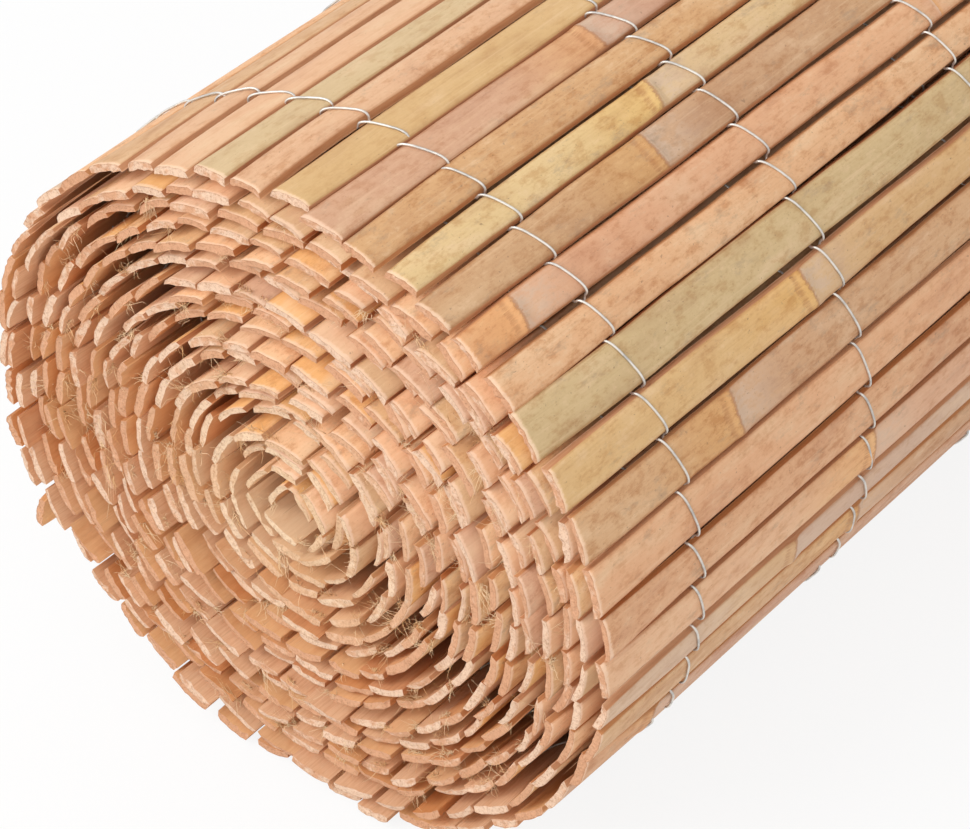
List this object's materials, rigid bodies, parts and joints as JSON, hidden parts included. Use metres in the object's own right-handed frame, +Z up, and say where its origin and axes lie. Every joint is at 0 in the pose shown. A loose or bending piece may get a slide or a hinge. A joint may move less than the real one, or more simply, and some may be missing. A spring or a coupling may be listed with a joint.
{
  "type": "rolled bamboo slat fence",
  "caption": "Split bamboo slat fence, tied with rows of galvanised wire and rolled up, lying on its side.",
  "frame": {"origin": "centre of the roll's box at the level of the surface it lies on", "axes": "+Y along the roll's axis, away from the end that the picture shows; +Z up"},
  "size_m": [0.1774, 0.5042, 0.1665],
  "materials": {
    "bamboo": "raw split bamboo",
    "wire": "galvanised"
  },
  "bodies": {
    "root": {"slats_turn_01": "bamboo", "slats_turn_02": "bamboo", "slats_turn_03": "bamboo", "slats_turn_04": "bamboo", "slats_turn_05": "bamboo", "slats_turn_06": "bamboo", "slats_turn_07": "bamboo", "slats_turn_08": "bamboo", "slats_turn_09": "bamboo", "slats_turn_10": "bamboo", "slats_turn_11": "bamboo", "slats_turn_12": "bamboo", "slats_turn_13": "bamboo", "slats_turn_14": "bamboo", "slats_turn_15": "bamboo", "slats_turn_16": "bamboo", "slats_turn_17": "bamboo", "wire_row_1": "wire", "wire_row_2": "wire", "wire_row_3": "wire", "wire_row_4": "wire", "wire_row_5": "wire", "wire_row_6": "wire", "wire_row_7": "wire", "wire_row_8": "wire"}
  },
  "joints": []
}
